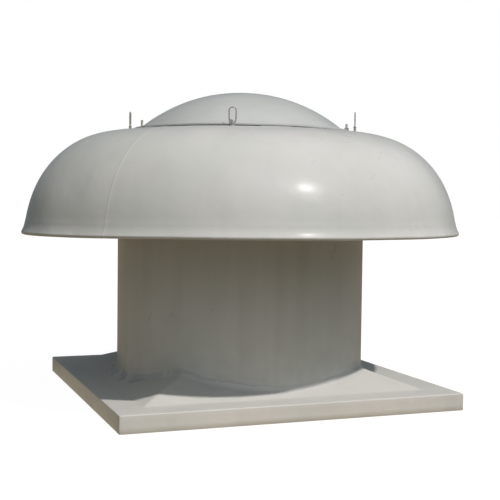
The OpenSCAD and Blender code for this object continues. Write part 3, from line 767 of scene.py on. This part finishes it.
def shoulder(inset, steps):
    """The hood's wall and shoulder from the flare up to the flat land, moved in by inset."""
    points = []
    for k in range(steps + 1):
        a = math.pi / 2 * (1 - (1 - k / steps) ** 1.3)
        c, s = max(0.0, math.cos(a)), math.sin(a)
        z = WALL_Z + (HOOD_TOP - inset - WALL_Z) * s ** SHOULDER_UP
        r = LAND_R + (WALL_R - inset - LAND_R) * c ** SHOULDER_OUT
        points.append((r - math.tan(LEAN) * (z - WALL_Z) * c, z))
    return points


def hood_outside():
    """From the bottom of the lip's bead, over the flare, up to the land."""
    centre = (LIP_R - LIP_BEAD, LIP_Z + LIP_BEAD)
    bead = arc(*centre, LIP_BEAD, -math.pi / 2, FLARE_TURN, 12)
    top_r, top_z = bead[-1]
    flare_r = (FLARE_Z - top_z) / (math.sin(FLARE_TURN) - math.sin(LEAN))
    flare_centre = (top_r + flare_r * math.cos(FLARE_TURN), top_z + flare_r * math.sin(FLARE_TURN))
    flare = arc(*flare_centre, flare_r, math.pi + FLARE_TURN, math.pi + LEAN, 12)
    return bead + flare[1:] + [p for p in shoulder(0.0, 90) if p[1] > FLARE_Z + 0.003]


SEAM_TURN = math.radians(-142)
SEAM_HALF, SEAM_RISE = 0.0018, 0.0005
SAG_TURN = math.radians(160)
SAG = 0.0075
WAVE_SIZE, WAVE_RISE = 0.16, 0.0011


def hood_shape(p):
    """Waves in the hand-laid hood, the ridge that its mould left, and the sag of its left side at the lip."""
    turn = math.atan2(p.y, p.x)
    side = max(0.0, math.cos(turn - SAG_TURN)) ** 1.5
    low = max(0.0, (HOOD_TOP - p.z) / (HOOD_TOP - LIP_Z))
    wave = noise.noise(p / WAVE_SIZE) * WAVE_RISE
    ridge = SEAM_RISE * math.exp(-((turn - SEAM_TURN) * LIP_R / SEAM_HALF) ** 2)
    return p + p.normalized() * (wave + ridge) - Vector((0, 0, SAG * side * low))


def inside_hood(p, n):
    """True on the hood's faces that turn inwards or down."""
    inwards = n.x * p.x + n.y * p.y < 0.0 and n.z < 0.5
    return inwards or n.z < -0.3 and p.z > LIP_Z + 0.01


def make_hood():
    outline = hood_outside()
    outline += [(0.290, HOOD_TOP), (0.276, HOOD_TOP)]
    outline += [tuple(p) for p in rounded(
        [(0.272, HOOD_TOP, 0), (HOOD_HOLE, HOOD_TOP, 0.003), (HOOD_HOLE, HOOD_TOP - 0.017, 0.001),
         (HOOD_HOLE + SHELL, HOOD_TOP - 0.017, 0.001), (HOOD_HOLE + SHELL, HOOD_TOP - SHELL, 0.004),
         (0.276, HOOD_TOP - SHELL, 0)], 4)]
    outline += [p for p in reversed(shoulder(SHELL, 60)) if p[1] > WALL_Z + 0.002]
    outline += [(LIP_R - 0.0100, LIP_Z + 0.012), (LIP_R - 0.0098, LIP_Z + 0.005)]
    outline += [(LIP_R - 0.0080, LIP_Z + 0.0012)]
    across_seam = [SEAM_TURN + SEAM_HALF / LIP_R * k / 2 for k in range(-4, 5)]
    points, faces = lathe(outline, 320, across_seam)
    made = piece("hood_moulding", [hood_shape(p) for p in points], faces, ["hood_coat", "laminate"],
                 "housing", sharp=50)
    paint(made, 1, inside_hood)
    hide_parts("hood")


def make_dome():
    centre = DOME_TOP - DOME_R
    outer_start = math.asin((BRIM_Z + SHELL + 0.002 - centre) / DOME_R)
    inner_r = DOME_R - SHELL
    inner_start = math.asin((BRIM_Z - centre) / inner_r)
    root = (DOME_R * math.cos(outer_start), BRIM_Z + SHELL + 0.002)
    outline = [(0.0004, DOME_TOP)]
    outline += arc(0, centre, DOME_R, math.pi / 2 - 0.02, outer_start, 40)
    outline += [(root[0] + 0.003, BRIM_Z + SHELL + 0.0004)]
    outline += [tuple(p) for p in rounded(
        [(root[0] + 0.006, BRIM_Z + SHELL, 0), (BRIM_R, BRIM_Z + SHELL, 0.0022),
         (BRIM_R, BRIM_Z, 0.0012), (BRIM_R - 0.010, BRIM_Z, 0)], 5)]
    outline += arc(0, centre, inner_r, inner_start, math.pi / 2 - 0.02, 24)
    outline += [(0.0004, centre + inner_r)]
    points, faces = lathe(list(reversed(outline)), 256)
    made = piece("dome_moulding", points, faces, ["dome_coat", "laminate"], "housing",
                 sharp=50, uneven=(0.14, 0.0008))
    paint(made, 1, lambda p, n: n.z < -0.2 and p.z > BRIM_Z + 0.001)
    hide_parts("dome_cap")


# ---- Lifting eyes

EYE_WIRE = 0.0015
EYE_BEND = 0.019 / 2 - EYE_WIRE
EYE_STRAIGHT = 0.020
SHANK_R = 0.003
THREAD_TOP = HOOD_TOP + 0.010
THREAD_PITCH, THREAD_DEPTH = 0.001, 0.0005


def eye_path(top, bottom):
    """Points (across, height) along the middle of an eye's wire, a little narrower at its lower end."""
    path = []
    for k in range(25):
        a = math.pi * k / 24
        path.append((EYE_BEND * math.cos(a), top + EYE_BEND * math.sin(a)))
    for k in range(1, 6):
        path.append((-EYE_BEND, top + (bottom - top) * k / 6))
    for k in range(25):
        a = math.pi + math.pi * k / 24
        path.append((EYE_BEND * 0.94 * math.cos(a), bottom + EYE_BEND * math.sin(a)))
    for k in range(1, 6):
        path.append((EYE_BEND, bottom + (top - bottom) * k / 6))
    return path


def eye_wire(path, centre, outward, across, sides):
    """The points of a round wire laid along a path."""
    points = []
    for i, (y, z) in enumerate(path):
        y0, z0 = path[i - 1]
        y1, z1 = path[(i + 1) % len(path)]
        along = (across * (y1 - y0) + Vector((0, 0, z1 - z0))).normalized()
        normal = outward.cross(along)
        here = centre + across * y + Vector((0, 0, z))
        for k in range(sides):
            a = TAU * k / sides
            points.append(here + (outward * math.cos(a) + normal * math.sin(a)) * EYE_WIRE)
    return points


def shank_outline(bottom, low_z):
    """A collar of weld under the eye, a plain neck, and a thread down to low_z."""
    outline = [(0.0001, bottom - EYE_BEND + EYE_WIRE)]
    outline += [(0.0032, bottom - EYE_BEND + 0.0006), (0.0042, bottom - EYE_BEND - 0.0012)]
    outline += [(0.0034, bottom - EYE_BEND - 0.003), (SHANK_R, THREAD_TOP)]
    z = THREAD_TOP
    while z - THREAD_PITCH > low_z + 0.001:
        outline += [(SHANK_R - THREAD_DEPTH, z - THREAD_PITCH / 2), (SHANK_R, z - THREAD_PITCH)]
        z -= THREAD_PITCH
    return outline + [(SHANK_R - 0.0006, low_z), (0.0001, low_z)]


def make_lifting_eye(number):
    """A welded wire eye on its threaded shank."""
    low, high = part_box(f"lifting_eye_{number}")
    top = high.z - EYE_WIRE - EYE_BEND
    bottom = top - EYE_STRAIGHT
    turn = HOOD_TURN + TAU / 4 * (number - 1)
    outward = Vector((math.cos(turn), math.sin(turn), 0))
    across = Vector((-math.sin(turn), math.cos(turn), 0))
    centre = outward * EYE_R
    path = eye_path(top, bottom)
    sides = 14
    points = eye_wire(path, centre, outward, across, sides)
    faces = loop_faces(len(path), sides)
    more, more_faces = lathe(list(reversed(shank_outline(bottom, low.z))), 20)
    shift = len(points)
    points += [p + centre for p in more]
    faces += [tuple(i + shift for i in face) for face in more_faces]
    made = piece(f"eye_{number}", points, faces, ["zinc"], "housing", sharp=60)
    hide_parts(f"lifting_eye_{number}")


# ---- Impeller blades

BLADE_ROOT = 0.0863
ROOT_CHORD, FULL_CHORD = 0.034, 0.118
ROOT_PITCH, TIP_PITCH = math.radians(38), math.radians(22)


def blade_ring(x, count=20):
    """One closed section of a blade, flat and square to its axis at distance x from the shaft's."""
    t = max(0.0, (x - BLADE_ROOT) / (TIP_R - BLADE_ROOT))
    flare = max(0.0, 1 - t / 0.32) ** 2
    chord = FULL_CHORD - (FULL_CHORD - ROOT_CHORD) * flare
    pitch = ROOT_PITCH + (TIP_PITCH - ROOT_PITCH) * math.sqrt(t)
    thick = 0.004 + 0.005 * (1 - t) + 0.004 * flare
    ring = []
    for i in range(2 * count):
        u = i / count if i <= count else 2 - i / count
        u = (1 - math.cos(math.pi * u)) / 2
        side = 1 if i <= count else -1
        half = thick / 2 * (2.6 * math.sqrt(u) * (1 - u) + 0.25 * (1 - (2 * u - 1) ** 2) + 0.06)
        v = chord * (0.5 - u)
        w = -0.28 * chord * u * (1 - u) + side * half
        ring.append(Vector((x, v * math.cos(pitch) + w * math.sin(pitch),
                            HUB_Z - v * math.sin(pitch) + w * math.cos(pitch))))
    return ring


def make_blade(number):
    count = 20
    stations = [BLADE_ROOT - 0.001 + (TIP_R - 0.0005 - BLADE_ROOT) * k / 44 for k in range(45)]
    rings = [blade_ring(x, count) for x in stations]
    # Rounded tip: the last ring shrinks towards its own middle line
    tip = rings[-1]
    middle = [(tip[i] + tip[-i]) / 2 for i in range(2 * count)]
    rings.append([p.lerp(m, 0.6) + Vector((0.0005, 0, 0)) for p, m in zip(tip, middle)])
    points = [p for ring in rings for p in ring]
    faces = loop_faces(len(rings), 2 * count, wrap_rows=False)
    last = (len(rings) - 1) * 2 * count
    faces += [tuple(range(2 * count)), tuple(last + i for i in reversed(range(2 * count)))]
    faces = [tuple(reversed(face)) for face in faces]
    # The foot, shank and collar that the hub clamps
    outline = rounded([
        (0.0001, 0.056, 0), (0.017, 0.056, 0.0008), (0.017, 0.062, 0.0008), (0.014, 0.062, 0),
        (0.014, 0.0803, 0), (0.020, 0.0803, 0.001), (0.020, BLADE_ROOT, 0.0025), (0.0001, BLADE_ROOT, 0),
    ], 4)
    more, more_faces = lathe([tuple(p) for p in outline], 48)
    shift = len(points)
    points += [Vector((p.z, p.y, HUB_Z - p.x)) for p in more]
    faces += [tuple(i + shift for i in reversed(face)) for face in more_faces]
    turn = Matrix.Rotation(TAU * (number - 1) / BLADES, 3, "Z")
    made = piece(f"fan_blade_{number}", [turn @ p for p in points], faces, ["aluminium"],
                 "impeller", sharp=40)
    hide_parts(f"blade_{number}")


# ---- The scene

add_camera()
add_lights()
add_world()
add_floor()
bpy.context.scene.view_settings.view_transform = "Standard"

finish_cad_nodes()
make_base()
make_throat()
make_hood()
make_dome()
for number in range(1, 5):
    make_lifting_eye(number)
for number in range(1, BLADES + 1):
    make_blade(number)

bpy.context.view_layer.update()
